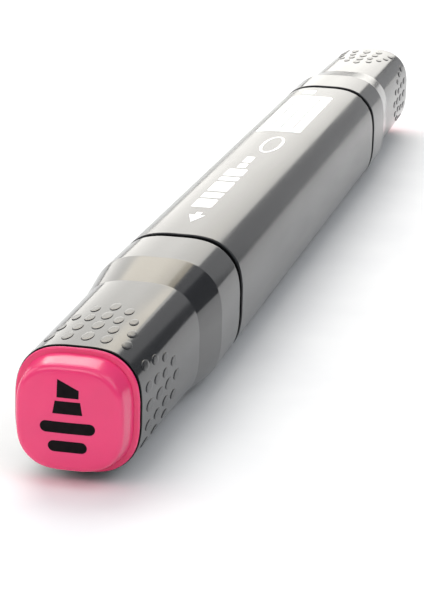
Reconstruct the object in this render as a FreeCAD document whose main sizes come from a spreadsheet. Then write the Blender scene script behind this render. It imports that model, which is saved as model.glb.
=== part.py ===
import FreeCAD, Part
import Sketcher
import os
from math import atan2, cos, pi, sin, sqrt

# Twin-tip felt marker, lying on its side, in millimetres.
# World frame: origin under the middle of the marker on the surface it lies on,
# +Y along the marker towards its fine end, +Z up.
# Every section of the outside is the same rounded square at another width: four short
# flats, each running through two gentle side arcs into tight corner arcs.
# Both ends are alike, so each end's pieces are drawn upright with local +Z running
# inwards from the end plug's face. A distance along that line is called a station.

SHEET_ROWS = [
    ("overall_length", 155.0, "face to face over both end plugs"),
    ("body_width", 12.8, "barrel and cap collars, across the flats"),
    ("neck_width", 11.54, "cap grip where the ramp starts"),
    ("grip_end_width", 11.1, "cap grip at its outer end"),
    ("grip_skin_end_width", 11.22, "over the grip dots at the outer end"),
    ("grip_skin_neck_width", 11.66, "over the grip dots at the neck"),
    ("pillow_face_width", 9.2, "front of the end plug's cushion, before its edge is rounded"),
    ("pillow_width", 9.92, "the cushion where it meets the flange"),
    ("flange_width", 10.94, "the plug's flange, behind the cushion"),
    ("line_width", 11.0, "inner cap's rim, seen as a thin line behind the plug"),
    ("seam_width", 12.5, "ring between cap and barrel, sunk below both"),
    ("seam_hole_width", 11.24, "hole of that ring"),
    ("shoulder_width", 11.2, "nib holder's shoulder inside the ring"),
    ("key_width", 10.64, "nib holder's guide for the cap collar"),
    ("spigot_width", 10.76, "nib holder's plug in the barrel"),
    ("bore_width", 10.8, "barrel and cap collar, inside"),
    ("neck_bore_width", 9.54, "cap grip at the neck, inside"),
    ("grip_bore_width", 9.1, "cap grip at its outer end, inside"),
    ("flat_share", 0.15, "flat's half width over the section's half width"),
    ("corner_share", 0.68, "corner radius over the section's half width"),
    ("side_share", 1.5, "side arc's radius over the section's half width"),
    ("face_station", 0.0, "front of the end plug"),
    ("flange_station", 2.85, "back of the cushion, front of the plug's flange"),
    ("line_station", 3.1, "back of the flange, front of the inner cap's rim"),
    ("shell_station", 3.4, "outer end of the cap shell"),
    ("plug_spigot_station", 6.4, "inner end of the plug's spigot"),
    ("socket_station", 7.2, "bottom of the inner cap's plug socket"),
    ("chamber_station", 8.0, "bottom of the inner cap's nib chamber"),
    ("nib_tip_station", 13.4, "tip of either nib"),
    ("fine_nose_station", 17.6, "front of the fine nib holder"),
    ("broad_nose_station", 20.6, "front of the broad nib holder"),
    ("neck_station", 23.0, "start of the cap's ramp"),
    ("taper_station", 26.4, "end of the nib holder's taper"),
    ("bead_front_station", 28.6, "front of the sealing bead"),
    ("bead_top_station", 29.0, "front of the sealing bead's top"),
    ("ramp_station", 29.5, "end of the cap's ramp"),
    ("bead_back_station", 29.8, "back of the sealing bead's top"),
    ("bead_end_station", 30.2, "back of the sealing bead"),
    ("inner_mouth_station", 32.0, "mouth of the inner cap"),
    ("stem_station", 32.4, "inner end of the nib holder's neck"),
    ("key_station", 34.0, "outer end of the nib holder's guide"),
    ("mouth_station", 37.3, "mouth of the cap shell"),
    ("shoulder_station", 37.35, "front of the nib holder's shoulder"),
    ("barrel_station", 38.5, "end of the barrel"),
    ("seat_station", 40.6, "bottom of the nib holder's reservoir seat"),
    ("reservoir_station", 41.0, "end of the ink reservoir"),
    ("nib_root_station", 46.0, "inner end of either nib"),
    ("spigot_end_station", 48.3, "inner end of the nib holder"),
    ("rib_station", 50.0, "end of the barrel's ribs"),
    ("plug_spigot_radius", 3.76, "end plug's spigot"),
    ("chamber_radius", 3.8, "inner cap, inside"),
    ("inner_cap_radius", 4.4, "inner cap, outside"),
    ("bead_radius", 3.75, "sealing bead on the nib holder"),
    ("stem_radius", 3.6, "nib holder's neck"),
    ("collar_radius", 4.7, "nib holder behind its neck"),
    ("broad_nose_radius", 3.45, "front of the broad nib holder"),
    ("fine_nose_radius", 1.8, "front of the fine nib holder"),
    ("seat_radius", 4.66, "nib holder's reservoir seat"),
    ("film_radius", 4.6, "outside of the reservoir's film"),
    ("fibre_radius", 4.5, "fibre core of the reservoir"),
    ("rib_radius", 4.68, "circle that the barrel's ribs leave free"),
    ("side_rib_root_radius", 5.7, "root of a rib in the middle of a side"),
    ("corner_rib_root_radius", 6.3, "root of a rib in a corner"),
    ("rib_half_thickness", 0.4, "half of a rib's thickness"),
    ("broad_nib_half_width", 2.8, "half of the chisel nib's width"),
    ("broad_nib_half_thickness", 1.6, "half of the chisel nib's thickness"),
    ("broad_nib_heel_station", 15.8, "short side of the chisel nib's slant"),
    ("chisel_length", 2.6, "length of the chisel's two bevels"),
    ("chisel_depth", 1.15, "how deep each bevel cuts at the tip"),
    ("fine_nib_radius", 1.2, "fine nib's shank"),
    ("fine_nib_cone_station", 16.2, "start of the fine nib's taper"),
    ("fine_nib_dome_station", 13.9, "end of the fine nib's taper"),
    ("fine_nib_dome_radius", 0.62, "fine nib at the end of its taper"),
    ("fine_nib_point_radius", 0.3, "flat left at the fine nib's very tip"),
    ("dot_half_length", 1.1, "raised grip dot, an oval along the marker"),
    ("dot_half_width", 0.46, "the same, across"),
    ("dot_station", 5.8, "first row of dots"),
    ("dot_row_pitch", 2.67, "from row to row"),
    ("dot_reach", 14.0, "length of the posts that the dots are cut from"),
    ("pillow_rounding", 0.9, "rounded front edge of the end plug"),
    ("flange_rounding", 0.2, "rounded front edge of the plug's flange"),
    ("edge_rounding", 0.15, "broken edges of cap mouth and barrel"),
]

# Rows of grip dots, from the outer end inwards: how many, how far apart,
# and how far the middle one is moved inwards.
DOT_ROWS = [(5, 1.72, 0.25), (5, 1.58, 0.75), (5, 1.3, 0.95), (3, 1.54, 1.0)]
OUTER_DOT_SHIFT = 0.3
# Size of the dots in the middle of a row, beside it and at its ends, and how each row shrinks.
DOT_SHARES = (1.12, 1.0, 0.88)
ROW_SHRINK = 0.04

ENDS = ("broad", "fine")
TOUCH = 0.001

doc = FreeCAD.newDocument("felt_tip_marker")
sheet = doc.addObject("Spreadsheet::Sheet", "Dimensions")
for row, (alias, number, note) in enumerate(SHEET_ROWS, start=1):
    sheet.set(f"A{row}", alias)
    sheet.set(f"B{row}", str(number))
    sheet.set(f"C{row}", note)
    sheet.setAlias(f"B{row}", alias)
doc.recompute()

subparts = []


def cell(alias):
    return float(sheet.get(alias))


def bound(alias):
    return f"Dimensions.{alias}"


def span(first, last):
    """Expression for the distance between two stations."""
    return f"Dimensions.{last} - Dimensions.{first}"


# ---- sketches -------------------------------------------------------------------------

def new_body(name):
    return doc.addObject("PartDesign::Body", name)


def new_sketch(body, name, role="XY_Plane", station=None, turn=0.0):
    """A sketch on one of the body's own planes, at a station and turned about its normal."""
    sketch = body.newObject("Sketcher::SketchObject", name)
    plane = next(item for item in body.Origin.OriginFeatures if item.Role == role)
    sketch.AttachmentSupport = [(plane, "")]
    sketch.MapMode = "FlatFace"
    rotation = FreeCAD.Rotation(FreeCAD.Vector(0, 0, 1), turn)
    sketch.AttachmentOffset = FreeCAD.Placement(FreeCAD.Vector(0, 0, 0), rotation)
    if station:
        sketch.setExpression("AttachmentOffset.Base.z", bound(station))
    return sketch


def set_datum(sketch, name, constraint, expression):
    index = sketch.addConstraint(constraint)
    sketch.renameConstraint(index, name)
    sketch.setExpression(f"Constraints.{name}", expression)


def squircle(sketch, width, tag=""):
    """The marker's rounded square, its width across the flats taken from the sheet."""
    half = cell(width) / 2
    flat = half * cell("flat_share")
    corner = half * cell("corner_share")
    side = half * cell("side_share")
    # The corner centre lies on the diagonal, where corner and side arcs are tangent.
    linear = side - half - flat
    constant = (flat ** 2 + (side - half) ** 2 - (side - corner) ** 2) / 2
    centre = (-linear + sqrt(linear ** 2 - 4 * constant)) / 2
    lean = atan2(centre - flat, centre + side - half)

    def turned(x, y, quarter):
        angle = quarter * pi / 2
        return FreeCAD.Vector(x * cos(angle) - y * sin(angle), x * sin(angle) + y * cos(angle), 0)

    def arc(x, y, radius, start, stop, quarter):
        circle_curve = Part.Circle(turned(x, y, quarter), FreeCAD.Vector(0, 0, 1), radius)
        first = start + quarter * pi / 2
        return Part.ArcOfCircle(circle_curve, first, stop + quarter * pi / 2)

    pieces = []
    for quarter in range(4):
        line = Part.LineSegment(turned(half, -flat, quarter), turned(half, flat, quarter))
        pieces += [
            line,
            arc(half - side, flat, side, 0, lean, quarter),
            arc(centre, centre, corner, lean, pi / 2 - lean, quarter),
            arc(flat, half - side, side, pi / 2 - lean, pi / 2, quarter),
        ]
    first = sketch.addGeometry(pieces, False)[0]
    count = len(pieces)
    for number in range(count):
        following = first + (number + 1) % count
        sketch.addConstraint(Sketcher.Constraint("Tangent", first + number, 2, following, 1))
    width_cell = bound(width)
    for quarter in range(4):
        flat_line = first + 4 * quarter
        across = quarter % 2 == 0
        sketch.addConstraint(
            Sketcher.Constraint("Symmetric", flat_line, 1, flat_line, 2, -1 if across else -2))
        reach = half if quarter in (0, 1) else -half
        sign = "" if quarter in (0, 1) else "-"
        kind = "DistanceX" if across else "DistanceY"
        set_datum(sketch, f"reach{tag}_{quarter}",
                  Sketcher.Constraint(kind, -1, 1, flat_line, 1, reach), f"{sign}{width_cell} / 2")
        if quarter:
            sketch.addConstraint(Sketcher.Constraint("Equal", first, flat_line))
            sketch.addConstraint(Sketcher.Constraint("Equal", first + 2, flat_line + 2))
            sketch.addConstraint(Sketcher.Constraint("Equal", first + 1, flat_line + 1))
        sketch.addConstraint(Sketcher.Constraint("Equal", first + 1, flat_line + 3))
    set_datum(sketch, f"flat{tag}", Sketcher.Constraint("Distance", first, 2 * flat),
              f"{width_cell} * Dimensions.flat_share")
    set_datum(sketch, f"corner{tag}", Sketcher.Constraint("Radius", first + 2, corner),
              f"{width_cell} / 2 * Dimensions.corner_share")
    set_datum(sketch, f"side{tag}", Sketcher.Constraint("Radius", first + 1, side),
              f"{width_cell} / 2 * Dimensions.side_share")


def circle(sketch, radius):
    """A circle about the marker's axis."""
    curve = Part.Circle(FreeCAD.Vector(0, 0, 0), FreeCAD.Vector(0, 0, 1), cell(radius))
    index = sketch.addGeometry(curve, False)
    sketch.addConstraint(Sketcher.Constraint("Coincident", index, 3, -1, 1))
    set_datum(sketch, "radius", Sketcher.Constraint("Radius", index, cell(radius)), bound(radius))


def polygon(sketch, corners):
    """A closed outline. A corner is (across, along), each a cell's name, -name or None for zero."""
    def number(name):
        if name is None:
            return 0.0
        return -cell(name[1:]) if name.startswith("-") else cell(name)

    def expression(name):
        return f"-{bound(name[1:])}" if name.startswith("-") else bound(name)

    points = [FreeCAD.Vector(number(across), number(along), 0) for across, along in corners]
    count = len(points)
    for index in range(count):
        sketch.addGeometry(Part.LineSegment(points[index], points[(index + 1) % count]), False)
    for index in range(count):
        following = (index + 1) % count
        sketch.addConstraint(Sketcher.Constraint("Coincident", index, 2, following, 1))
    for index, (across, along) in enumerate(corners):
        if across is None:
            sketch.addConstraint(Sketcher.Constraint("PointOnObject", index, 1, -2))
        else:
            set_datum(sketch, f"across_{index}",
                      Sketcher.Constraint("DistanceX", -1, 1, index, 1, points[index].x),
                      expression(across))
        if along is None:
            sketch.addConstraint(Sketcher.Constraint("PointOnObject", index, 1, -1))
        else:
            set_datum(sketch, f"along_{index}",
                      Sketcher.Constraint("DistanceY", -1, 1, index, 1, points[index].y),
                      expression(along))


# ---- features -------------------------------------------------------------------------

def pad(body, sketch, length, midplane=False):
    feature = body.newObject("PartDesign::Pad", f"{sketch.Name}_pad")
    feature.Profile = sketch
    feature.setExpression("Length", length)
    if midplane:
        feature.SideType = "Symmetric"
    doc.recompute()
    return feature


def pocket(body, sketch, length=None):
    """A pocket that runs inwards, along the body's +Z, right through where no length is given."""
    feature = body.newObject("PartDesign::Pocket", f"{sketch.Name}_pocket")
    feature.Profile = sketch
    feature.Reversed = True
    if length:
        feature.setExpression("Length", length)
    else:
        feature.Type = "ThroughAll"
    before = body.Shape.Volume
    doc.recompute()
    if body.Shape.Volume > before - TOUCH:
        raise RuntimeError(f"{feature.Name} cuts nothing")
    return feature


def ruled_loft(body, sketches):
    feature = body.newObject("PartDesign::AdditiveLoft", f"{body.Name}_loft")
    feature.Profile = sketches[0]
    feature.Sections = sketches[1:]
    feature.Ruled = True
    doc.recompute()
    return feature


def revolve(body, sketch):
    feature = body.newObject("PartDesign::Revolution", f"{sketch.Name}_revolution")
    feature.Profile = sketch
    feature.ReferenceAxis = (sketch, ["V_Axis"])
    feature.Angle = 360.0
    doc.recompute()
    return feature


def edges_where(shape, test):
    return [f"Edge{number}" for number, edge in enumerate(shape.Edges, start=1) if test(edge)]


def level_edges(shape, station):
    """Edges that lie wholly at one station."""
    level = cell(station)
    return edges_where(shape, lambda edge: max(abs(edge.BoundBox.ZMin - level),
                                               abs(edge.BoundBox.ZMax - level)) < TOUCH)


def fillet(body, base, edge_names, radius):
    feature = body.newObject("PartDesign::Fillet", f"{base.Name}_fillet")
    feature.Base = (base, edge_names)
    feature.setExpression("Radius", bound(radius))
    doc.recompute()
    return feature


# ---- placing --------------------------------------------------------------------------

def finish(piece, label, end=None):
    """Name a sub-part and lay it on its side: at one end, or in the middle of the marker."""
    piece.Label = label
    turn = 90.0 if end == "fine" else -90.0
    piece.Placement = FreeCAD.Placement(
        FreeCAD.Vector(0, 0, 0), FreeCAD.Rotation(FreeCAD.Vector(1, 0, 0), turn))
    piece.setExpression("Placement.Base.z", "Dimensions.body_width / 2")
    if end:
        sign = "" if end == "fine" else "-"
        piece.setExpression("Placement.Base.y", f"{sign}Dimensions.overall_length / 2")
    subparts.append(piece)


# ---- cap ------------------------------------------------------------------------------

def lofted_sections(body, sections):
    """A ruled loft through sections, each a width and a station."""
    sketches = []
    for width, station in sections:
        sketch = new_sketch(body, f"{body.Name}_{station}_section", station=station)
        squircle(sketch, width)
        sketches.append(sketch)
    return ruled_loft(body, sketches)


def dot_layout():
    """Across and along positions of one face's grip dots, and each dot's size."""
    for row, (count, pitch, middle_shift) in enumerate(DOT_ROWS):
        for column in range(count):
            steps = column - (count - 1) // 2
            shift = (middle_shift, 0.0, OUTER_DOT_SHIFT)[abs(steps)]
            along = cell("dot_station") + row * cell("dot_row_pitch") + shift
            yield steps * pitch, along, DOT_SHARES[abs(steps)] - ROW_SHRINK * row


def dot_posts(name, turn):
    """Posts through a cap, two faces at a time, which the grip dots are the tops of."""
    outlines = []
    for number, (across, along, share) in enumerate(dot_layout()):
        outline = doc.addObject("Part::Ellipse", f"{name}_outline_{number}")
        outline.setExpression("MajorRadius", f"{bound('dot_half_length')} * {share}")
        outline.setExpression("MinorRadius", f"{bound('dot_half_width')} * {share}")
        outline.Placement = FreeCAD.Placement(
            FreeCAD.Vector(across, along, 0), FreeCAD.Rotation(FreeCAD.Vector(0, 0, 1), 90))
        outlines.append(outline)
    layout = doc.addObject("Part::Compound", f"{name}_layout")
    layout.Links = outlines
    face_turn = FreeCAD.Rotation(FreeCAD.Vector(0, 0, 1), turn)
    upright = FreeCAD.Rotation(FreeCAD.Vector(1, 0, 0), 90)
    layout.Placement = FreeCAD.Placement(FreeCAD.Vector(0, 0, 0), face_turn * upright)
    posts = doc.addObject("Part::Extrusion", name)
    posts.Base = layout
    posts.DirMode = "Custom"
    posts.Dir = face_turn.multVec(FreeCAD.Vector(0, -1, 0))
    posts.setExpression("LengthFwd", bound("dot_reach"))
    posts.Symmetric = True
    posts.Solid = True
    return posts


def cap_shell(end):
    """Collar, ramp and dotted grip in one moulding, open at both ends."""
    outside = new_body(f"{end}_shell_outside")
    lofted_sections(outside, [
        ("grip_end_width", "shell_station"), ("neck_width", "neck_station"),
        ("body_width", "ramp_station")])
    collar = new_sketch(outside, f"{end}_collar", station="ramp_station")
    squircle(collar, "body_width")
    sleeve = pad(outside, collar, span("ramp_station", "mouth_station"))
    fillet(outside, sleeve, level_edges(sleeve.Shape, "mouth_station"), "edge_rounding")
    skin = new_body(f"{end}_dot_skin")
    lofted_sections(skin, [
        ("grip_skin_end_width", "shell_station"), ("grip_skin_neck_width", "neck_station")])
    inside = new_body(f"{end}_shell_inside")
    lofted_sections(inside, [
        ("grip_bore_width", "shell_station"), ("neck_bore_width", "neck_station"),
        ("bore_width", "ramp_station"), ("bore_width", "mouth_station")])
    moulded = [outside]
    for pair, turn in (("flat", 0.0), ("upright", 90.0)):
        dots = doc.addObject("Part::Common", f"{end}_{pair}_dots")
        dots.Base = skin
        dots.Tool = dot_posts(f"{end}_{pair}_posts", turn)
        moulded.append(dots)
    with_dots = doc.addObject("Part::MultiFuse", f"{end}_shell_moulding")
    with_dots.Shapes = moulded
    shell = doc.addObject("Part::Cut", f"{end}_cap_shell")
    shell.Base = with_dots
    shell.Tool = inside
    finish(shell, f"{end}_cap_shell", end)


def inner_cap(end):
    """Cup that seals round the nib; its rim shows between the shell and the end plug."""
    body = new_body(f"{end}_inner_cap")
    sketch = new_sketch(body, f"{end}_cup", "XZ_Plane")
    polygon(sketch, [
        (None, "socket_station"), ("chamber_radius", "socket_station"),
        ("chamber_radius", "line_station"), ("inner_cap_radius", "line_station"),
        ("inner_cap_radius", "inner_mouth_station"), ("chamber_radius", "inner_mouth_station"),
        ("chamber_radius", "chamber_station"), (None, "chamber_station")])
    revolve(body, sketch)
    rim = new_sketch(body, f"{end}_rim", station="line_station")
    squircle(rim, "line_width")
    pad(body, rim, span("line_station", "shell_station"))
    socket = new_sketch(body, f"{end}_socket", station="line_station")
    circle(socket, "chamber_radius")
    pocket(body, socket, span("line_station", "shell_station"))
    finish(body, f"{end}_inner_cap", end)


def end_plug(end):
    """Coloured plug: cushion-shaped face, flange and a spigot held in the inner cap."""
    body = new_body(f"{end}_end_plug")
    flange = new_sketch(body, f"{end}_flange", station="flange_station")
    squircle(flange, "flange_width")
    rim = pad(body, flange, span("flange_station", "line_station"))
    fillet(body, rim, level_edges(rim.Shape, "flange_station"), "flange_rounding")
    cushion = lofted_sections(body, [
        ("pillow_face_width", "face_station"), ("pillow_width", "flange_station")])
    front = edges_where(cushion.Shape, lambda edge: edge.BoundBox.ZMax < TOUCH)
    fillet(body, cushion, front, "pillow_rounding")
    spigot = new_sketch(body, f"{end}_plug_spigot", station="line_station")
    circle(spigot, "plug_spigot_radius")
    pad(body, spigot, span("line_station", "plug_spigot_station"))
    finish(body, f"{end}_end_plug", end)


# ---- barrel and what it holds -----------------------------------------------------------

def between(station):
    """Expression for the length between the two stations of that name, one from each end."""
    return f"Dimensions.overall_length - 2 * Dimensions.{station}"


def barrel():
    """Square tube with eight ribs that keep the round reservoir clear of its walls."""
    body = new_body("barrel")
    outline = new_sketch(body, "barrel_outline")
    squircle(outline, "body_width")
    tube = pad(body, outline, between("barrel_station"), midplane=True)
    ends = edges_where(tube.Shape, lambda edge: edge.BoundBox.ZLength < TOUCH)
    fillet(body, tube, ends, "edge_rounding")
    bore = new_sketch(body, "barrel_bore")
    squircle(bore, "bore_width")
    hole = pocket(body, bore)
    hole.SideType = "Symmetric"
    doc.recompute()
    for place, root, turn in (("side", "side_rib_root_radius", 0.0),
                              ("corner", "corner_rib_root_radius", 45.0)):
        section = new_sketch(body, f"{place}_rib", turn=turn)
        polygon(section, [("rib_radius", "-rib_half_thickness"), (root, "-rib_half_thickness"),
                          (root, "rib_half_thickness"), ("rib_radius", "rib_half_thickness")])
        rib = pad(body, section, between("rib_station"), midplane=True)
        ring = body.newObject("PartDesign::PolarPattern", f"{place}_ribs")
        ring.Originals = [rib]
        ring.Axis = (section, ["N_Axis"])
        ring.Angle = 360.0
        ring.Occurrences = 4
        body.Tip = ring
        doc.recompute()
    finish(body, "barrel")


def seam_ring(end):
    """Thin ring round the holder's shoulder, a little below the surface of cap and barrel."""
    body = new_body(f"{end}_seam_ring")
    outline = new_sketch(body, f"{end}_ring", station="shoulder_station")
    squircle(outline, "seam_width", "_outer")
    squircle(outline, "seam_hole_width", "_inner")
    pad(body, outline, span("shoulder_station", "barrel_station"))
    finish(body, f"{end}_seam_ring", end)


def nib_outline(sketch, end):
    """Section of the nib's shank: a bar for the chisel nib, round for the fine one."""
    if end == "fine":
        circle(sketch, "fine_nib_radius")
        return
    polygon(sketch, [("-broad_nib_half_width", "-broad_nib_half_thickness"),
                     ("broad_nib_half_width", "-broad_nib_half_thickness"),
                     ("broad_nib_half_width", "broad_nib_half_thickness"),
                     ("-broad_nib_half_width", "broad_nib_half_thickness")])


def nib_holder(end):
    """Tapered nose and sealing neck, guide for the cap, shoulder, and a spigot in the barrel."""
    body = new_body(f"{end}_nib_holder")
    stem = new_sketch(body, f"{end}_stem", "XZ_Plane")
    nose_radius = f"{end}_nose_radius"
    nose_station = f"{end}_nose_station"
    polygon(stem, [
        (None, nose_station), (nose_radius, nose_station), ("stem_radius", "taper_station"),
        ("stem_radius", "bead_front_station"), ("bead_radius", "bead_top_station"),
        ("bead_radius", "bead_back_station"), ("stem_radius", "bead_end_station"),
        ("stem_radius", "stem_station"), ("collar_radius", "stem_station"),
        ("collar_radius", "shoulder_station"), (None, "shoulder_station")])
    revolve(body, stem)
    for name, width, first, last in (
            ("key", "key_width", "key_station", "shoulder_station"),
            ("shoulder", "shoulder_width", "shoulder_station", "barrel_station"),
            ("spigot", "spigot_width", "barrel_station", "spigot_end_station")):
        section = new_sketch(body, f"{end}_{name}", station=first)
        squircle(section, width)
        pad(body, section, span(first, last))
    seat = new_sketch(body, f"{end}_seat", station="seat_station")
    circle(seat, "seat_radius")
    pocket(body, seat, span("seat_station", "spigot_end_station"))
    slot = new_sketch(body, f"{end}_nib_slot")
    nib_outline(slot, end)
    pocket(body, slot)
    finish(body, f"{end}_nib_holder", end)


def broad_nib():
    """Felt bar with a slanted chisel tip."""
    body = new_body("broad_nib")
    side = new_sketch(body, "broad_nib_side", "XZ_Plane")
    polygon(side, [
        ("-broad_nib_half_width", "nib_tip_station"),
        ("broad_nib_half_width", "broad_nib_heel_station"),
        ("broad_nib_half_width", "nib_root_station"),
        ("-broad_nib_half_width", "nib_root_station")])
    bar = pad(body, side, "2 * Dimensions.broad_nib_half_thickness", midplane=True)
    front = cell("broad_nib_heel_station") + TOUCH
    tip_edges = edges_where(bar.Shape, lambda edge: edge.BoundBox.ZMax < front
                            and edge.BoundBox.YLength < TOUCH)
    bevels = body.newObject("PartDesign::Chamfer", "broad_nib_bevels")
    bevels.Base = (bar, tip_edges)
    bevels.ChamferType = "Two distances"
    bevels.setExpression("Size", bound("chisel_depth"))
    bevels.setExpression("Size2", bound("chisel_length"))
    doc.recompute()
    finish(body, "broad_nib", "broad")


def fine_nib():
    """Round felt rod with a bullet tip."""
    body = new_body("fine_nib")
    half = new_sketch(body, "fine_nib_half", "XZ_Plane")
    polygon(half, [
        (None, "nib_tip_station"), ("fine_nib_point_radius", "nib_tip_station"),
        ("fine_nib_dome_radius", "fine_nib_dome_station"),
        ("fine_nib_radius", "fine_nib_cone_station"),
        ("fine_nib_radius", "nib_root_station"), (None, "nib_root_station")])
    revolve(body, half)
    finish(body, "fine_nib", "fine")


def reservoir():
    """Fibre core with a pocket for each nib's inner end, and the film wrapped round it."""
    core = new_body("reservoir_fibre")
    section = new_sketch(core, "fibre_section")
    circle(section, "fibre_radius")
    pad(core, section, between("reservoir_station"), midplane=True)
    for end in ENDS:
        # The middle bodies' own +Z runs towards the fine end.
        pocket_sketch = new_sketch(core, f"{end}_nib_pocket")
        sign = "-" if end == "broad" else ""
        pocket_sketch.setExpression(
            "AttachmentOffset.Base.z",
            f"{sign}(Dimensions.overall_length / 2 - Dimensions.reservoir_station)")
        nib_outline(pocket_sketch, end)
        cut = core.newObject("PartDesign::Pocket", f"{end}_nib_pocket_cut")
        cut.Profile = pocket_sketch
        cut.Reversed = end == "broad"
        cut.setExpression("Length", span("reservoir_station", "nib_root_station"))
        doc.recompute()
    finish(core, "reservoir_fibre")

    film = new_body("reservoir_film")
    ring = new_sketch(film, "film_section")
    circle(ring, "film_radius")
    inner = Part.Circle(FreeCAD.Vector(0, 0, 0), FreeCAD.Vector(0, 0, 1), cell("fibre_radius"))
    index = ring.addGeometry(inner, False)
    ring.addConstraint(Sketcher.Constraint("Coincident", index, 3, -1, 1))
    set_datum(ring, "inner_radius",
              Sketcher.Constraint("Radius", index, cell("fibre_radius")), bound("fibre_radius"))
    pad(film, ring, between("reservoir_station"), midplane=True)
    finish(film, "reservoir_film")


barrel()
reservoir()
for end in ENDS:
    seam_ring(end)
    nib_holder(end)
broad_nib()
fine_nib()
for end in ENDS:
    cap_shell(end)
    inner_cap(end)
    end_plug(end)
doc.recompute()

# ---- checks and files -------------------------------------------------------------------

for item in doc.Objects:
    if "Invalid" in item.State or "Error" in item.State:
        raise RuntimeError(f"{item.Label} failed: {item.State}")
for piece in subparts:
    if piece.Shape.isNull() or not piece.Shape.isValid() or len(piece.Shape.Solids) != 1:
        raise RuntimeError(f"{piece.Label} has no single valid solid")

os.makedirs("parts", exist_ok=True)
for piece in subparts:
    piece.Shape.exportStep(f"parts/{piece.Label}.step")
    box = piece.Shape.optimalBoundingBox(False, False)
    print(f"{piece.Label:20s} {piece.Shape.Volume:9.2f} mm3  "
          f"x {box.XMin:7.2f} {box.XMax:7.2f}  y {box.YMin:7.2f} {box.YMax:7.2f}  "
          f"z {box.ZMin:6.2f} {box.ZMax:6.2f}")
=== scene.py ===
from math import atan2, cos, pi, radians, sin, sqrt

import bmesh
import bpy
from mathutils import Matrix, Vector
from mathutils.geometry import tessellate_polygon


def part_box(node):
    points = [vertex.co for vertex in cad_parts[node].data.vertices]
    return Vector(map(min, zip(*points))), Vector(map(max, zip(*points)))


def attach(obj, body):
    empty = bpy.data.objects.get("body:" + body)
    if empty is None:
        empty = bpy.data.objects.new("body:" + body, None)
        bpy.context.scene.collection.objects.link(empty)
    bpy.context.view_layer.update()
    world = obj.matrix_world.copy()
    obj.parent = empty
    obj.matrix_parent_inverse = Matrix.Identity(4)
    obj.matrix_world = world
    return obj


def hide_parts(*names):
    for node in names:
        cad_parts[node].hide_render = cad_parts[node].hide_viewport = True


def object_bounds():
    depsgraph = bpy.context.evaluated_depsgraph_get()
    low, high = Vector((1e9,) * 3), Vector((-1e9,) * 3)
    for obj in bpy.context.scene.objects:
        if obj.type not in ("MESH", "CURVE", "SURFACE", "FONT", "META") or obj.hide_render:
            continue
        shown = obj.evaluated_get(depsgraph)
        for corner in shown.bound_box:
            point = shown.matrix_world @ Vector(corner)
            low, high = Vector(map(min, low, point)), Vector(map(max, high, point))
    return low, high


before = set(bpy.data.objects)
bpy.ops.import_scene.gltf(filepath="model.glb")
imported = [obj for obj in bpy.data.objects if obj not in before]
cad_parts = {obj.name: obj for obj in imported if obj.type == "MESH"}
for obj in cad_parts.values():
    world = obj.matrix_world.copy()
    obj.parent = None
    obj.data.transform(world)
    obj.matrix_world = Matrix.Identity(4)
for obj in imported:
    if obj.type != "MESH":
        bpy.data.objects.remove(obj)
cad_box = [list(corner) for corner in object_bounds()]

# All lengths are metres. "Station" is the distance inwards from an end plug's face.
MM = 0.001
ENDS = ("broad", "fine")

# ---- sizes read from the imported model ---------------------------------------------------
LOW, HIGH = (Vector(corner) for corner in cad_box)
HALF_LENGTH = HIGH.y
AXIS_Z = (LOW.z + HIGH.z) / 2
BODY_HALF = (HIGH.x - LOW.x) / 2


def station_range(node):
    """A broad-end node's lowest and highest station."""
    low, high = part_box(node)
    return low.y + HALF_LENGTH, high.y + HALF_LENGTH


def half_width(node):
    low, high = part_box(node)
    return (high.x - low.x) / 2


SHELL_START, MOUTH = station_range("broad_cap_shell")
PLUG_END = station_range("broad_end_plug")[1]
RIM_START = station_range("broad_inner_cap")[0]
SEAM_START, BARREL_START = station_range("broad_seam_ring")
FLANGE_HALF = half_width("broad_end_plug")
SEAM_HALF = half_width("broad_seam_ring")

# ---- sizes of the cap and its plug, as the design has them --------------------------------
# The grip widens slowly up to the neck, and the ramp joins it to the full-width collar.
NECK = 23.0 * MM
RAMP_TOP = 29.5 * MM
NECK_HALF = 5.77 * MM
GRIP_END_HALF = 5.55 * MM
WALL = 1.0 * MM
SEAM_WALL = 0.5 * MM
# The plug's cushion has a crowned face, a round edge, a side that widens up to the undercut
# before the flange, and a spigot inside the cap.
FACE_CROWN = 0.33 * MM
FACE_REACH = 4.1 * MM
EDGE_STATION = 0.95 * MM
EDGE_HALF = 4.72 * MM
PILLOW_HALF = 5.0 * MM
UNDERCUT = 0.1 * MM
FLANGE_START = 2.85 * MM
SPIGOT_HALF = 3.7 * MM
# Print stands this proud of the surface and reaches this far into it.
PRINT_RISE = 0.012 * MM
PRINT_DEPTH = 0.02 * MM
BARREL_SKIN = BODY_HALF - PRINT_RISE

# ---- the rounded square every section shares ------------------------------------------------
# All are shares of the section's half width: half a side's flat middle, the radius of the wide
# arcs beside it and the radius of the corner.
FLAT_SHARE = 0.15
SIDE_SHARE = 1.5
CORNER_SHARE = 0.68
# The corner's centre is as far across as it is up, where the corner touches both wide arcs.
# That share solves share ** 2 + LINEAR * share + CONSTANT = 0.
LINEAR = SIDE_SHARE - 1 - FLAT_SHARE
CONSTANT = (FLAT_SHARE ** 2 + (SIDE_SHARE - 1) ** 2 - (SIDE_SHARE - CORNER_SHARE) ** 2) / 2
CENTRE_SHARE = (-LINEAR + sqrt(LINEAR ** 2 - 4 * CONSTANT)) / 2
# How far a side leans where its wide arc meets the corner, and how far across that is.
LEAN = atan2(CENTRE_SHARE - FLAT_SHARE, CENTRE_SHARE + SIDE_SHARE - 1)
TANGENT_SHARE = FLAT_SHARE + SIDE_SHARE * sin(LEAN)


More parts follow.
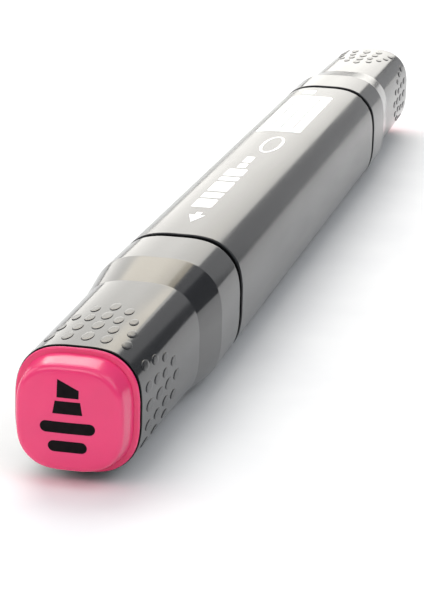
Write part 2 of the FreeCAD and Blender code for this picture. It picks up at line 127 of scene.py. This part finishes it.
def side_height(across, half):
    """Distance from the axis to a side, at a place across it, for a section of that half width."""
    across = abs(across)
    if across <= FLAT_SHARE * half:
        return half
    if across <= TANGENT_SHARE * half:
        radius, offset = SIDE_SHARE * half, across - FLAT_SHARE * half
        return half - radius + sqrt(radius ** 2 - offset ** 2)
    radius, offset = CORNER_SHARE * half, across - CENTRE_SHARE * half
    return CENTRE_SHARE * half + sqrt(max(radius ** 2 - offset ** 2, 0.0))


def side_normal(across, half):
    """Outward direction (across, out) of a side at a place across it."""
    size = abs(across)
    if size <= FLAT_SHARE * half:
        lean = 0.0
    elif size <= TANGENT_SHARE * half:
        lean = (size - FLAT_SHARE * half) / (SIDE_SHARE * half)
    else:
        lean = min((size - CENTRE_SHARE * half) / (CORNER_SHARE * half), 1.0)
    out = sqrt(1 - lean ** 2)
    return (lean if across > 0 else -lean), out


def section_size(across, up, rounds=12):
    """Half width of the section that passes through a point, found by repeated correction."""
    out, along = max(abs(across), abs(up)), min(abs(across), abs(up))
    size = out
    for _ in range(rounds):
        if size > 0:
            size *= out / side_height(along, size)
    return size


def section_ring(half, quarter_steps=24):
    """Points (x, z) round a section, evenly stepped over its flats and arcs."""
    flat_steps, side_steps = 2, 4
    corner_steps = quarter_steps - 2 * flat_steps - 2 * side_steps
    quarter = []
    for step in range(flat_steps):
        quarter.append((half, FLAT_SHARE * half * step / flat_steps))
    for step in range(side_steps):
        angle = LEAN * step / side_steps
        quarter.append((half - SIDE_SHARE * half * (1 - cos(angle)),
                        FLAT_SHARE * half + SIDE_SHARE * half * sin(angle)))
    for step in range(corner_steps):
        angle = LEAN + (pi / 2 - 2 * LEAN) * step / corner_steps
        quarter.append((CENTRE_SHARE * half + CORNER_SHARE * half * cos(angle),
                        CENTRE_SHARE * half + CORNER_SHARE * half * sin(angle)))
    for step in range(side_steps):
        angle = pi / 2 - LEAN + LEAN * step / side_steps
        quarter.append((FLAT_SHARE * half + SIDE_SHARE * half * cos(angle),
                        half - SIDE_SHARE * half * (1 - sin(angle))))
    for step in range(flat_steps):
        quarter.append((FLAT_SHARE * half * (1 - step / flat_steps), half))
    ring = []
    for cosine, sine in ((1, 0), (0, 1), (-1, 0), (0, -1)):
        ring += [(x * cosine - z * sine, x * sine + z * cosine) for x, z in quarter]
    return ring


# ---- meshes -----------------------------------------------------------------------------------

def end_sign(end):
    return -1 if end == "broad" else 1


def place(end, across, station, up):
    """A point from an end's own coordinates; both ends are mirror images."""
    return (across, end_sign(end) * (HALF_LENGTH - station), AXIS_Z + up)


def in_scene(name, data):
    """A new object in the scene, with the same name as its data."""
    thing = bpy.data.objects.new(name, data)
    bpy.context.scene.collection.objects.link(thing)
    return thing


def shade_smooth(piece, sharp_angle):
    """Smooth shading, apart from edges sharper than an angle in degrees."""
    for polygon in piece.data.polygons:
        polygon.use_smooth = True
    piece.data.set_sharp_from_angle(angle=radians(sharp_angle))


class MeshBuilder:
    """Collects points and faces; faces are turned outwards at the end."""

    def __init__(self):
        self.points = []
        self.faces = []
        self.marked = set()

    def ring(self, points):
        """Adds points and gives their indices."""
        first = len(self.points)
        self.points += points
        return list(range(first, len(self.points)))

    def bridge(self, near, far):
        """Faces between two rings with the same number of points."""
        count = len(near)
        for k in range(count):
            following = (k + 1) % count
            self.faces.append((near[k], near[following], far[following], far[k]))

    def fan(self, ring, centre_point, flip=False):
        """Closes a ring with triangles round a new point, and gives that point's index."""
        centre = len(self.points)
        self.points.append(centre_point)
        count = len(ring)
        for k in range(count):
            following = (k + 1) % count
            start, end = (k, following) if flip else (following, k)
            self.faces.append((ring[start], ring[end], centre))
        return centre

    def build(self, name, sharp_angle=35.0, mark=None):
        """The finished piece; mark names an attribute that is 1 at the marked points."""
        mesh = bpy.data.meshes.new(name)
        mesh.from_pydata(self.points, [], self.faces)
        mesh.validate()
        work = bmesh.new()
        work.from_mesh(mesh)
        bmesh.ops.recalc_face_normals(work, faces=work.faces)
        work.to_mesh(mesh)
        work.free()
        piece = in_scene(name, mesh)
        shade_smooth(piece, sharp_angle)
        if mark:
            marks = piece.data.attributes.new(mark, "FLOAT", "POINT")
            for index in self.marked:
                marks.data[index].value = 1.0
        return piece


def rounded_outline(corners, steps=5, support=0.12 * MM):
    """An outline of (station, half width) from corners; a third number rounds that corner.

    Where support is given, a long straight stretch gets a point that far from each of its ends,
    so that shading stays flat between them.
    """
    outline = []
    for index, corner in enumerate(corners):
        here = Vector(corner[:2])
        if len(corner) == 2 or index in (0, len(corners) - 1):
            outline.append(here)
            continue
        to_before = (Vector(corners[index - 1][:2]) - here).normalized()
        to_after = (Vector(corners[index + 1][:2]) - here).normalized()
        half_turn = to_before.angle(to_after) / 2
        radius = corner[2]
        middle = here + (to_before + to_after).normalized() * (radius / sin(half_turn))
        setback = radius * cos(half_turn) / sin(half_turn)
        first = here + to_before * setback - middle
        last = here + to_after * setback - middle
        start = atan2(first.y, first.x)
        swing = (atan2(last.y, last.x) - start + pi) % (2 * pi) - pi
        for step in range(steps + 1):
            angle = start + swing * step / steps
            outline.append(middle + radius * Vector((cos(angle), sin(angle))))
    supported = [outline[0]]
    for before, after in zip(outline, outline[1:]):
        run = after - before
        if support and run.length > 5 * support:
            supported.append(before + run.normalized() * support)
            supported.append(after - run.normalized() * support)
        supported.append(after)
    return [tuple(point) for point in supported]


def skin(builder, end, outline, closed=False):
    """Sections along an outline of (station, half width), joined into a skin."""
    rings = [builder.ring([place(end, x, station, z) for x, z in section_ring(half)])
             for station, half in outline]
    for near, far in zip(rings, rings[1:]):
        builder.bridge(near, far)
    if closed:
        builder.bridge(rings[-1], rings[0])
    return rings


# ---- pieces -------------------------------------------------------------------------------------

# Rows of grip dots, from the outer end inwards: how many, how far apart (mm), and how far
# the middle one is moved inwards (mm).
DOT_ROWS = [(5, 1.72, 0.25), (5, 1.58, 0.75), (5, 1.3, 0.95), (3, 1.54, 1.0)]
OUTERMOST_DOT_SHIFT = 0.3 * MM
# Sizes of the middle dot, its neighbours and the outermost two, and what each row inwards loses.
DOT_SIZES = (1.12, 1.0, 0.88)
ROW_SHRINK = 0.04
DOT_STATION = 5.8 * MM
DOT_ROW_PITCH = 2.67 * MM
DOT_RISE = 0.058 * MM
DOT_HALF_ACROSS = 0.46 * MM
DOT_HALF_ALONG = 1.1 * MM
# A dot's profile: share of its radius and share of its rise, from its foot to its flat top.
DOT_PROFILE = ((1.0, -0.5), (1.0, 0.0), (0.985, 0.45), (0.955, 0.8), (0.91, 0.97), (0.5, 1.0))
DOT_FINISH = "dot_finish"


def grip_half(station):
    """Half width of the tapered grip."""
    share = (station - SHELL_START) / (NECK - SHELL_START)
    return GRIP_END_HALF + (NECK_HALF - GRIP_END_HALF) * share


def turned(across, out, quarter):
    """A point (across, out) of the top side carried round to another side."""
    for _ in range(quarter):
        across, out = out, -across
    return across, out


def grip_dot(builder, end, quarter, across, station, size):
    """One low oval with a rounded rim, wrapped onto the side it stands on."""
    count = 32
    first_matte_ring = 3

    def surface(side, along, height):
        half = grip_half(along)
        lean, out = side_normal(side, half)
        x, z = turned(side + lean * height, side_height(side, half) + out * height, quarter)
        return place(end, x, along, z)

    rings = []
    for share, rise in DOT_PROFILE:
        rings.append(builder.ring([
            surface(across + DOT_HALF_ACROSS * size * share * cos(2 * pi * k / count),
                    station + DOT_HALF_ALONG * size * share * sin(2 * pi * k / count),
                    DOT_RISE * rise)
            for k in range(count)]))
    builder.marked.update(index for ring in rings[first_matte_ring:] for index in ring)
    for near, far in zip(rings, rings[1:]):
        builder.bridge(near, far)
    builder.marked.add(builder.fan(rings[-1], surface(across, station, DOT_RISE)))
    foot = DOT_RISE * DOT_PROFILE[0][1]
    builder.fan(rings[0], surface(across, station, foot), flip=True)


def cap_moulding(end):
    """Collar, ramp and grip in one wall, with the grip dots standing on its four sides."""
    builder = MeshBuilder()
    outline = rounded_outline([
        (SHELL_START, GRIP_END_HALF - WALL),
        (SHELL_START, GRIP_END_HALF, 0.06 * MM),
        (NECK, NECK_HALF, 0.9 * MM),
        (RAMP_TOP, BODY_HALF, 1.6 * MM),
        (MOUTH, BODY_HALF, 0.13 * MM),
        (MOUTH, BODY_HALF - WALL, 0.12 * MM),
        (RAMP_TOP, BODY_HALF - WALL, 0.5 * MM),
        (NECK, NECK_HALF - WALL, 0.5 * MM),
        (SHELL_START, GRIP_END_HALF - WALL)])
    skin(builder, end, outline[:-1], closed=True)
    for quarter in range(4):
        for row, (count, pitch, middle_shift) in enumerate(DOT_ROWS):
            for column in range(count):
                steps = column - (count - 1) // 2
                shift = (middle_shift * MM, 0.0, OUTERMOST_DOT_SHIFT)[abs(steps)]
                size = DOT_SIZES[abs(steps)] - ROW_SHRINK * row
                station = DOT_STATION + row * DOT_ROW_PITCH + shift
                grip_dot(builder, end, quarter, steps * pitch * MM, station, size)
    return builder.build(f"{end}_cap_moulding", mark=DOT_FINISH)


def face_station(size):
    """Station of the crowned face, for the size of the section through a place on it."""
    return PRINT_RISE + FACE_CROWN * (size / FACE_REACH) ** 2


def plug_moulding(end):
    """Cushion with a crowned face, round edge and tapered side; groove, flange and spigot."""
    builder = MeshBuilder()
    face_rings, edge_rings = 10, 12
    outline = [(face_station(FACE_REACH * step / face_rings), FACE_REACH * step / face_rings)
               for step in range(1, face_rings + 1)]
    # The round edge is a curve that leaves with the crown's last slope and arrives with the side's.
    face_end = Vector(outline[-1])
    side_start = Vector((EDGE_STATION, EDGE_HALF))
    to_face = Vector((2 * FACE_CROWN / FACE_REACH, 1.0)).normalized()
    to_side = Vector((FLANGE_START - EDGE_STATION, PILLOW_HALF - EDGE_HALF)).normalized()
    reach = side_start - face_end
    corner = face_end + to_face * (reach.cross(to_side) / to_face.cross(to_side))
    for step in range(1, edge_rings + 1):
        share = step / edge_rings
        outline.append(tuple(face_end * (1 - share) ** 2 + corner * 2 * share * (1 - share)
                             + side_start * share ** 2))
    back = [outline[-1],
            (FLANGE_START - 0.12 * MM, PILLOW_HALF, 0.04 * MM),
            (FLANGE_START - 0.06 * MM, PILLOW_HALF - UNDERCUT, 0.04 * MM),
            (FLANGE_START, PILLOW_HALF - UNDERCUT, 0.03 * MM),
            (FLANGE_START + 0.04 * MM, FLANGE_HALF - 0.03 * MM, 0.19 * MM),
            (RIM_START, FLANGE_HALF, 0.04 * MM),
            (RIM_START, SPIGOT_HALF, 0.1 * MM),
            (PLUG_END, SPIGOT_HALF, 0.3 * MM),
            (PLUG_END, 1.0 * MM)]
    outline += rounded_outline(back, steps=6)[1:]
    rings = skin(builder, end, outline)
    builder.fan(rings[0], place(end, 0, face_station(0), 0))
    builder.fan(rings[-1], place(end, 0, PLUG_END, 0), flip=True)
    return builder.build(f"{end}_plug_moulding", sharp_angle=50.0)


def seam_band(end):
    """Black ring between a cap and the barrel; its near-black, unreflecting material also paints the
    shade of the gap it sits in.
    """
    builder = MeshBuilder()
    inner = SEAM_HALF - SEAM_WALL
    outline = rounded_outline([
        (SEAM_START, inner), (SEAM_START, SEAM_HALF, 0.08 * MM),
        (BARREL_START, SEAM_HALF, 0.08 * MM), (BARREL_START, inner)], support=None)
    skin(builder, end, outline, closed=True)
    return builder.build(f"{end}_seam_band")


def barrel_tube():
    """Outer wall with broken edges, end faces and bore."""
    builder = MeshBuilder()
    outside = rounded_outline([
        (BARREL_START, BODY_HALF - WALL), (BARREL_START, BARREL_SKIN, 0.13 * MM),
        (HALF_LENGTH, BARREL_SKIN)])
    far = [(2 * HALF_LENGTH - station, half) for station, half in reversed(outside[:-1])]
    skin(builder, "broad", outside + far, closed=True)
    return builder.build("barrel_tube")


# ---- printed marks --------------------------------------------------------------------------

# Directions and steps of the cuts that let a flat mark follow the surface under it.
BARREL_CUTS = [((1, 0, 0), 0.25 * MM)]
PLUG_CUTS = [((1, 0, 0), 0.5 * MM), ((0, 1, 0), 0.5 * MM)]


def rounded_bar(left, right, start, end, radius, steps=5):
    """Outline of a bar with rounded corners."""
    radius = min(radius, (right - left) / 2, (end - start) / 2)
    corners = [(right - radius, end - radius), (left + radius, end - radius),
               (left + radius, start + radius), (right - radius, start + radius)]
    outline = []
    for quarter, (x, y) in enumerate(corners):
        for step in range(steps + 1):
            angle = (quarter + step / steps) * pi / 2
            outline.append((x + radius * cos(angle), y + radius * sin(angle)))
    return outline


def oval(x, y, half_x, half_y, count=40):
    """Outline of an oval round a place."""
    return [(x + half_x * cos(2 * pi * k / count), y + half_y * sin(2 * pi * k / count))
            for k in range(count)]


def cut_across(work, axis, pitch):
    """Cuts a flat mesh at even steps along an axis, so that it can follow a curved surface."""
    reaches = [vertex.co.dot(axis) for vertex in work.verts]
    line = (min(reaches) // pitch + 1) * pitch
    while line < max(reaches):
        everything = work.verts[:] + work.edges[:] + work.faces[:]
        bmesh.ops.bisect_plane(work, geom=everything, dist=1e-9, plane_co=axis * line, plane_no=axis)
        line += pitch


def printed(name, shapes, surface, cuts):
    """Thin raised print: shapes in millimetres, each a list of loops, laid on surface(u, v, rise)."""
    work = bmesh.new()
    for loops in shapes:
        loops = [[Vector((u, v, 0)) * MM for u, v in loop] for loop in loops]
        corners = [work.verts.new(point) for loop in loops for point in loop]
        for triangle in tessellate_polygon(loops):
            work.faces.new([corners[index] for index in triangle])
    for axis, pitch in cuts:
        cut_across(work, Vector(axis), pitch)
    for face in work.faces:
        face.normal_update()
        if face.normal.z < 0:
            face.normal_flip()
    raised = bmesh.ops.extrude_face_region(work, geom=work.faces[:])["geom"]
    raised = {item for item in raised if isinstance(item, bmesh.types.BMVert)}
    for vertex in work.verts:
        rise = PRINT_RISE if vertex in raised else -PRINT_DEPTH
        vertex.co = surface(vertex.co.x, vertex.co.y, rise)
    bmesh.ops.recalc_face_normals(work, faces=work.faces)
    mesh = bpy.data.meshes.new(name)
    work.to_mesh(mesh)
    work.free()
    return in_scene(name, mesh)


def barrel_top(across, station, rise):
    """A place over the barrel's upper side."""
    lean, out = side_normal(across, BARREL_SKIN)
    height = side_height(across, BARREL_SKIN)
    return Vector(place("broad", across + lean * rise, station, height + out * rise))


def barrel_print():
    """Plain white marks along the top: an arrow to the broad end, bars and an oval ring."""
    arrow = [(-0.2, 43.4), (0.65, 46.3), (0.1, 46.3), (0.1, 47.5),
             (-0.5, 47.5), (-0.5, 46.3), (-1.05, 46.3)]
    shapes = [[arrow]]
    station, gap = 49.6, 0.6
    for length in (3.6, 2.4, 4.4, 1.8, 3.4):
        shapes.append([rounded_bar(-1.75, 0.45, station, station + length, 0.35)])
        station += length + gap
    for length in (2.2, 3.0):
        shapes.append([rounded_bar(-1.1, -0.1, station, station + length, 0.3)])
        station += length + gap
    shapes.append([oval(0.3, 81.0, 1.2, 4.4), oval(0.3, 81.0, 0.85, 3.9)])
    return printed("barrel_print", shapes, barrel_top, BARREL_CUTS)


def barrel_panel():
    """Light write-on panel near the fine end, ruled with thin lines, and a tab beyond it."""
    rules = [rounded_bar(across - 0.08, across + 0.08, 90.5, 108.5, 0.08, steps=2)
             for across in (-2.0, -0.6, 0.8)]
    shapes = [[rounded_bar(-3.3, 2.1, 88.3, 110.6, 0.5), *rules],
              [rounded_bar(-2.3, -0.7, 111.6, 114.4, 0.4)]]
    return printed("barrel_panel", shapes, barrel_top, BARREL_CUTS)


def plug_print(end):
    """A nib pictogram over two plain bars."""
    if end == "broad":
        nib = [(-0.95, 3.5), (-0.95, 1.95), (0.95, 1.95), (0.95, 2.65)]
    else:
        nib = [(-0.14, 3.5), (-0.5, 2.5), (-0.5, 1.95), (0.5, 1.95), (0.5, 2.5), (0.14, 3.5)]
    holder = [(-1.3, 0.55), (1.3, 0.55), (1.1, 1.65), (-1.1, 1.65)]
    shapes = [[nib], [holder], [rounded_bar(-2.4, 2.4, -1.15, -0.15, 0.5)],
              [rounded_bar(-1.7, 1.7, -2.85, -1.85, 0.5)]]

    def surface(to_right, up, rise):
        across = -end_sign(end) * to_right
        return Vector(place(end, across, face_station(section_size(across, up)) - rise, up))

    return printed(f"{end}_plug_print", shapes, surface, PLUG_CUTS)


# ---- materials ------------------------------------------------------------------------------

def new_material(name, **values):
    """A Principled material; values go on the shader's own sockets."""
    material = bpy.data.materials.new(name)
    material.use_nodes = True
    tree = material.node_tree
    shader = tree.nodes["Principled BSDF"]
    for socket, value in values.items():
        shader.inputs[socket.replace("_", " ")].default_value = value
    return material, tree, shader


def noise(tree, scale, detail=3.0, roughness=0.5, stretch=(1, 1, 1)):
    """Noise fixed to the object; a stretch below 1 draws it out along that axis."""
    coordinates = tree.nodes.new("ShaderNodeTexCoord")
    mapping = tree.nodes.new("ShaderNodeMapping")
    mapping.inputs["Scale"].default_value = stretch
    texture = tree.nodes.new("ShaderNodeTexNoise")
    texture.inputs["Scale"].default_value = scale
    texture.inputs["Detail"].default_value = detail
    texture.inputs["Roughness"].default_value = roughness
    tree.links.new(coordinates.outputs["Object"], mapping.inputs["Vector"])
    tree.links.new(mapping.outputs["Vector"], texture.inputs["Vector"])
    return texture


def ramp(tree, source, stops):
    """A colour ramp over a texture's value; stops are (place, colour)."""
    node = tree.nodes.new("ShaderNodeValToRGB")
    elements = node.color_ramp.elements
    while len(elements) < len(stops):
        elements.new(0.5)
    for element, (position, colour) in zip(elements, stops):
        element.position = position
        element.color = (*colour, 1.0)
    tree.links.new(source, node.inputs["Fac"])
    return node.outputs["Color"]


def spread(tree, source, low, high):
    """The source's 0.3 to 0.7 band mapped onto low to high."""
    node = tree.nodes.new("ShaderNodeMapRange")
    node.inputs["From Min"].default_value = 0.3
    node.inputs["From Max"].default_value = 0.7
    node.inputs["To Min"].default_value = low
    node.inputs["To Max"].default_value = high
    tree.links.new(source, node.inputs["Value"])
    return node.outputs["Result"]


def bump(tree, shader, height, distance, strength):
    """Tilts the shader's normal by a height texture."""
    node = tree.nodes.new("ShaderNodeBump")
    node.inputs["Distance"].default_value = distance
    node.inputs["Strength"].default_value = strength
    tree.links.new(height, node.inputs["Height"])
    tree.links.new(node.outputs["Normal"], shader.inputs["Normal"])


def shade(colour, factor):
    return tuple(channel * factor for channel in colour)


def grey_plastic(name, rough_low, rough_high, matte_mark=None):
    """Glossy charcoal-grey plastic with a fine pearl flake, matte where it is marked so."""
    grey = (0.017, 0.018, 0.020)
    material, tree, shader = new_material(name, IOR=1.38)
    flakes = noise(tree, 5200, detail=2)
    colour = ramp(tree, flakes.outputs["Fac"],
                  [(0.35, shade(grey, 0.88)), (0.5, grey), (0.68, shade(grey, 1.25))])
    tree.links.new(colour, shader.inputs["Base Color"])
    smudge = noise(tree, 260, detail=5, stretch=(1, 0.35, 1))
    roughness = spread(tree, smudge.outputs["Fac"], rough_low, rough_high)
    if matte_mark:
        added_roughness = 0.1
        mark = tree.nodes.new("ShaderNodeAttribute")
        mark.attribute_name = matte_mark
        matte = tree.nodes.new("ShaderNodeMath")
        matte.operation = "MULTIPLY_ADD"
        matte.inputs[1].default_value = added_roughness
        tree.links.new(mark.outputs["Fac"], matte.inputs[0])
        tree.links.new(roughness, matte.inputs[2])
        roughness = matte.outputs["Value"]
    tree.links.new(roughness, shader.inputs["Roughness"])
    peel = noise(tree, 1500, detail=2)
    bump(tree, shader, peel.outputs["Fac"], 0.002 * MM, 0.5)
    return material


def pink_plastic():
    """Opaque rose plastic of the end plugs, a little translucent at its thin edges."""
    pink = (0.80, 0.045, 0.17)
    material, tree, shader = new_material(
        "rose_plastic", IOR=1.5, Subsurface_Weight=0.15, Subsurface_Scale=0.5 * MM)
    shader.inputs["Subsurface Radius"].default_value = (1.0, 0.35, 0.45)
    cloud = noise(tree, 320, detail=4)
    colour = ramp(tree, cloud.outputs["Fac"], [(0.3, shade(pink, 0.94)), (0.7, pink)])
    tree.links.new(colour, shader.inputs["Base Color"])
    smudge = noise(tree, 700, detail=4)
    tree.links.new(spread(tree, smudge.outputs["Fac"], 0.18, 0.26), shader.inputs["Roughness"])
    peel = noise(tree, 1100, detail=2)
    bump(tree, shader, peel.outputs["Fac"], 0.005 * MM, 0.5)
    return material


def dark_plastic(name, value, rough_low, rough_high, specular=0.3):
    """Black moulded plastic with a faint grain."""
    material, tree, shader = new_material(name, IOR=1.5, Specular_IOR_Level=specular)
    grain = noise(tree, 2400, detail=4)
    darker, lighter = shade((0.8, 0.8, 0.85), value), shade((1.3, 1.3, 1.35), value)
    colour = ramp(tree, grain.outputs["Fac"], [(0.3, darker), (0.7, lighter)])
    tree.links.new(colour, shader.inputs["Base Color"])
    smudge = noise(tree, 500, detail=4)
    tree.links.new(spread(tree, smudge.outputs["Fac"], rough_low, rough_high),
                   shader.inputs["Roughness"])
    bump(tree, shader, grain.outputs["Fac"], 0.01 * MM, 0.5)
    return material


def ink_print(name, dark, light, roughness, specular=0.5):
    """Printed ink: uneven cover over a slightly grained surface."""
    material, tree, shader = new_material(name, IOR=1.5, Specular_IOR_Level=specular)
    cover = noise(tree, 1800, detail=5)
    colour = ramp(tree, cover.outputs["Fac"], [(0.3, dark), (0.6, light)])
    tree.links.new(colour, shader.inputs["Base Color"])
    tree.links.new(spread(tree, cover.outputs["Fac"], roughness, roughness + 0.1),
                   shader.inputs["Roughness"])
    bump(tree, shader, cover.outputs["Fac"], 0.004 * MM, 0.6)
    return material


def felt(name, dry, wet, along=12.0):
    """Bonded fibres that run along the marker, stained by the ink."""
    material, tree, shader = new_material(
        name, Roughness=0.9, IOR=1.4, Sheen_Weight=0.35, Sheen_Roughness=0.5)
    fibres = noise(tree, 5000, detail=4, roughness=0.7, stretch=(1, 1 / along, 1))
    blotch = noise(tree, 420, detail=3)
    mix = tree.nodes.new("ShaderNodeMix")
    mix.data_type = "RGBA"
    mix.blend_type = "MULTIPLY"
    mix.inputs["Factor"].default_value = 0.55
    stain = ramp(tree, blotch.outputs["Fac"], [(0.35, wet), (0.7, dry)])
    strands = ramp(tree, fibres.outputs["Fac"], [(0.3, (0.55, 0.5, 0.52)), (0.7, (1, 1, 1))])
    tree.links.new(stain, mix.inputs["A"])
    tree.links.new(strands, mix.inputs["B"])
    tree.links.new(mix.outputs["Result"], shader.inputs["Base Color"])
    bump(tree, shader, fibres.outputs["Fac"], 0.05 * MM, 0.8)
    return material


def clear_film():
    """Wrinkled clear film, tinted by the ink behind it."""
    material, tree, shader = new_material("clear_film", IOR=1.49, Transmission_Weight=0.8)
    wrinkle = noise(tree, 300, detail=5, stretch=(1, 0.2, 1))
    colour = ramp(tree, wrinkle.outputs["Fac"],
                  [(0.3, (0.92, 0.72, 0.78)), (0.7, (0.98, 0.9, 0.92))])
    tree.links.new(colour, shader.inputs["Base Color"])
    tree.links.new(spread(tree, wrinkle.outputs["Fac"], 0.12, 0.3), shader.inputs["Roughness"])
    bump(tree, shader, wrinkle.outputs["Fac"], 0.02 * MM, 0.5)
    return material


def dress(piece, material):
    piece.data.materials.clear()
    piece.data.materials.append(material)


# ---- putting it together --------------------------------------------------------------------

cap_grey = grey_plastic("cap_grey_plastic", 0.10, 0.15, DOT_FINISH)
barrel_grey = grey_plastic("barrel_grey_plastic", 0.14, 0.20)
rose = pink_plastic()
# Seam ring: its own black plastic, set near-black with no reflection at all so that it also paints
# the shade of the sunken gap between cap and barrel.
seam_black = dark_plastic("seam_black", 0.003, 0.5, 0.6, specular=0.0)
# Inner-cap rim behind the plug: its own black, set with no reflection at all so that it also paints
# the shade of the gap between the plug's flange and the cap shell.
rim_black_gap_shade = dark_plastic("inner_cap_black", 0.003, 0.5, 0.6, specular=0.0)
holder_black = dark_plastic("holder_black", 0.014, 0.22, 0.34)
white_ink = ink_print("white_print", (0.72, 0.74, 0.74), (0.86, 0.88, 0.88), 0.35)
panel_ink = ink_print("panel_print", (0.66, 0.74, 0.72), (0.78, 0.86, 0.84), 0.4)
black_ink = ink_print("black_print", (0.004, 0.003, 0.004), (0.008, 0.006, 0.007), 0.35,
                      specular=0.06)
nib_felt = felt("nib_felt", (0.62, 0.16, 0.27), (0.50, 0.045, 0.14))
core_felt = felt("reservoir_felt", (0.72, 0.3, 0.4), (0.6, 0.12, 0.24), along=30.0)
film = clear_film()


def stand_in(piece, material, body, node):
    """Shows a piece, on a body, in place of the node that it replaces."""
    dress(piece, material)
    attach(piece, body)
    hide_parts(node)


stand_in(barrel_tube(), barrel_grey, "root", "barrel")
for mark, ink in ((barrel_print(), white_ink), (barrel_panel(), panel_ink)):
    dress(mark, ink)
    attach(mark, "root")

for end in ENDS:
    cap_body = f"{end}_cap"
    stand_in(cap_moulding(end), cap_grey, cap_body, f"{end}_cap_shell")
    stand_in(plug_moulding(end), rose, cap_body, f"{end}_end_plug")
    mark = plug_print(end)
    dress(mark, black_ink)
    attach(mark, cap_body)
    stand_in(seam_band(end), seam_black, "root", f"{end}_seam_ring")

# Nodes shown with their own CAD shape.
CARRIED_OVER = {
    "broad_inner_cap": rim_black_gap_shade,
    "fine_inner_cap": rim_black_gap_shade,
    "broad_nib_holder": holder_black,
    "fine_nib_holder": holder_black,
    "broad_nib": nib_felt,
    "fine_nib": nib_felt,
    "reservoir_fibre": core_felt,
    "reservoir_film": film}
for node, material in CARRIED_OVER.items():
    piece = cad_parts[node]
    dress(piece, material)
    shade_smooth(piece, 30.0)


# ---- camera, floor and light ----------------------------------------------------------------

def make_camera():
    """The view down the marker from over its broad end."""
    camera = in_scene("camera", bpy.data.cameras.new("camera"))
    camera.data.sensor_width = 36.0
    camera.data.lens = 137.36
    camera.data.clip_start = 0.01
    camera.data.clip_end = 20.0
    yaw, pitch, roll = 0.2239, 0.2866, 0.025
    forward = Vector((-sin(yaw) * cos(pitch), cos(yaw) * cos(pitch), -sin(pitch)))
    right = Vector((cos(yaw), sin(yaw), 0))
    down = forward.cross(right)
    tilted_right = right * cos(roll) - down * sin(roll)
    tilted_down = right * sin(roll) + down * cos(roll)
    axes = Matrix((tilted_right, -tilted_down, -forward)).transposed()
    to_right, back, above = 51.33 * MM, 172.33 * MM, 63.66 * MM
    position = Vector((to_right, -HALF_LENGTH - back, AXIS_Z + above))
    camera.matrix_world = Matrix.Translation(position) @ axes.to_4x4()
    bpy.context.scene.camera = camera


def make_floor():
    """A pale matt table."""
    reach = 6.0
    mesh = bpy.data.meshes.new("floor")
    mesh.from_pydata([(-reach, -reach, 0), (reach, -reach, 0), (reach, reach, 0), (-reach, reach, 0)],
                     [], [(0, 1, 2, 3)])
    floor = in_scene("floor", mesh)
    material, tree, shader = new_material("floor_white", Roughness=0.5, Specular_IOR_Level=0.0)
    speckle = noise(tree, 90, detail=3)
    colour = ramp(tree, speckle.outputs["Fac"], [(0.3, (0.86, 0.86, 0.865)), (0.7, (0.9, 0.9, 0.9))])
    tree.links.new(colour, shader.inputs["Base Color"])
    dress(floor, material)


def softbox(name, position, width, height, power, colour=(1, 1, 1)):
    """A rectangular light that faces the marker and isn't seen itself."""
    light = bpy.data.lights.new(name, "AREA")
    light.shape = "RECTANGLE"
    light.size = width
    light.size_y = height
    light.energy = power
    light.color = colour
    lamp = in_scene(name, light)
    lamp.location = position
    lamp.rotation_mode = "QUATERNION"
    lamp.rotation_quaternion = (-position).to_track_quat("-Z", "Y")
    lamp.visible_camera = False


def toward(azimuth, elevation, distance):
    """A place in a direction from the marker; azimuth 0 is along +Y, 90 along +X."""
    azimuth, elevation = radians(azimuth), radians(elevation)
    return Vector((sin(azimuth) * cos(elevation), cos(azimuth) * cos(elevation),
                   sin(elevation))) * distance


def make_light():
    """Soft panels round and over the table; the body's pale top is their reflection."""
    world = bpy.data.worlds.new("studio")
    bpy.context.scene.world = world
    world.use_nodes = True
    background = world.node_tree.nodes["Background"]
    background.inputs["Color"].default_value = (0.125, 0.126, 0.132, 1)
    background.inputs["Strength"].default_value = 1.0
    softbox("key", toward(-30, 57, 1.2), 1.0, 0.9, 8)
    softbox("back_panel", toward(-14, 18, 1.3), 0.9, 0.72, 5.5, (1.0, 0.98, 0.93))
    softbox("back_high", toward(-17, 33, 1.3), 0.9, 0.4, 2.3, (1.0, 0.88, 0.66))
    softbox("side_panel", toward(14, 17, 1.3), 0.32, 0.8, 0.45)
    softbox("side_high", toward(60, 46, 1.3), 0.6, 0.5, 0.8)
    softbox("front_high", toward(170, 50, 1.3), 1.3, 0.9, 2.2)
    softbox("front_low", toward(-160, 32, 1.3), 1.2, 0.5, 5.5)
    softbox("left", toward(-90, 25, 1.3), 1.0, 0.8, 5)
    softbox("right", toward(115, 40, 1.3), 1.0, 0.9, 5.6, (0.90, 0.95, 1.0))
    softbox("top", toward(-90, 85, 1.3), 1.6, 1.6, 3.4)


make_camera()
make_floor()
make_light()
bpy.context.scene.view_settings.view_transform = "Standard"
